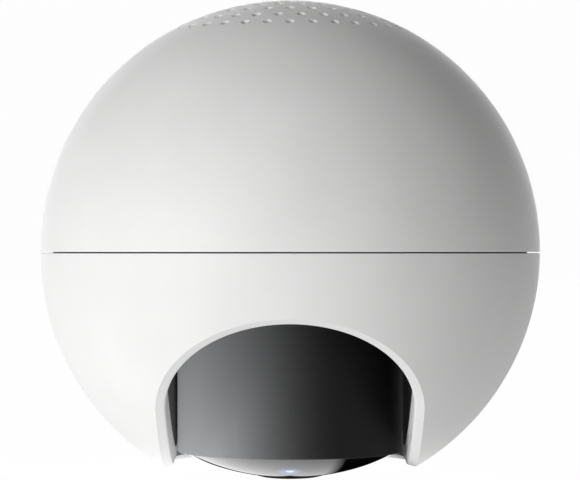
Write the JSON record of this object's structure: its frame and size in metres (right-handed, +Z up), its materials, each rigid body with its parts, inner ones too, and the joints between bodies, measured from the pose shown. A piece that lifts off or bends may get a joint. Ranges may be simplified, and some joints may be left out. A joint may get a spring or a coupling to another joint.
{
  "type": "smart speaker",
  "caption": "Ball-shaped smart speaker with a perforated crown, an arched mouth showing a dark round core, and a glossy bowl base with a status light.",
  "frame": {"origin": "centre of the foot's resting face, under the ball's centre", "axes": "+Z up; -Y towards the front, where the mouth opens; +X to the right as seen from the front"},
  "size_m": [0.12, 0.12, 0.1145],
  "materials": {
    "white_shell": "fine satin-matte moulded white",
    "white_control": "satin moulded white",
    "black_plastic": "fine matte black",
    "grey_plastic": "matte moulded grey",
    "dark_sleeve": "satin charcoal, very fine grain",
    "black_gloss": "polished piano black",
    "light": "glowing soft blue light pipe",
    "rubber": "matte rubber",
    "cloth": "fine black acoustic cloth",
    "cone": "coated paper",
    "steel": "zinc-plated",
    "tinned_can": "tinned sheet",
    "ferrite": "sintered, matte",
    "aluminium": "extruded, anodised",
    "board": "green solder mask",
    "copper": "bare copper foil"
  },
  "bodies": {
    "cabinet": {"upper_shell": "white_shell", "lower_shell": "white_shell", "seam_ring": "black_plastic", "mouth_liner": "black_plastic", "core_sleeve": "dark_sleeve", "core_enclosure": "grey_plastic", "radiator_frame": "black_plastic", "radiator_surround": "rubber", "driver_basket": "steel", "driver_top_plate": "steel", "driver_magnet": "ferrite", "driver_yoke": "steel", "driver_spider": "cloth", "driver_surround": "rubber", "driver_screw_1": "steel", "driver_screw_2": "steel", "driver_screw_3": "steel", "driver_screw_4": "steel", "sound_duct": "black_plastic", "crown_cloth": "cloth", "microphone_board": "board", "microphone_boot_1": "rubber", "microphone_boot_2": "rubber", "microphone_boot_3": "rubber", "base_bowl": "black_gloss", "base_weight": "steel", "base_screw_1": "steel", "base_screw_2": "steel", "base_screw_3": "steel", "status_light_pipe": "light", "status_light_board": "board", "foot_pad": "rubber", "frame_deck": "black_plastic", "frame_screw_1": "steel", "frame_screw_2": "steel", "frame_screw_3": "steel", "frame_screw_4": "steel", "core_screw_1": "steel", "core_screw_2": "steel", "core_screw_3": "steel", "main_board": "board", "board_screw_1": "steel", "board_screw_2": "steel", "board_screw_3": "steel", "processor_shield": "tinned_can", "radio_module": "tinned_can", "amplifier_heat_sink": "aluminium", "supply_capacitor": "black_plastic", "antenna_left": "copper", "antenna_right": "copper", "rear_panel": "black_plastic", "rear_board": "board", "usb_socket_shell": "tinned_can", "usb_socket_tongue": "black_plastic", "pairing_switch": "black_plastic"},
    "driver_diaphragm": {"driver_cone": "cone", "driver_dust_cap": "rubber"},
    "radiator_piston": {"radiator_diaphragm": "cone"},
    "mute_slider": {"microphone_mute_slider": "white_control"},
    "pairing_key": {"pairing_button": "white_control"}
  },
  "joints": [
    {"name": "driver_stroke", "type": "slide", "parent": "cabinet", "child": "driver_diaphragm", "axis": [0, 0, 1], "range_m": [-0.0015, 0.0015], "stiffness_N_per_m": 1800, "deforming": ["driver_surround", "driver_spider"]},
    {"name": "radiator_stroke", "type": "slide", "parent": "cabinet", "child": "radiator_piston", "axis": [0, -1, 0], "range_m": [-0.002, 0.002], "stiffness_N_per_m": 1500, "deforming": ["radiator_surround"]},
    {"name": "mute_slide", "type": "slide", "parent": "cabinet", "child": "mute_slider", "axis": [1, 0, 0], "range_m": [0, 0.0024]},
    {"name": "pairing_press", "type": "slide", "parent": "cabinet", "child": "pairing_key", "axis": [0, -1, 0], "range_m": [0, 0.0008], "stiffness_N_per_m": 1200, "springref_m": -0.0004}
  ]
}
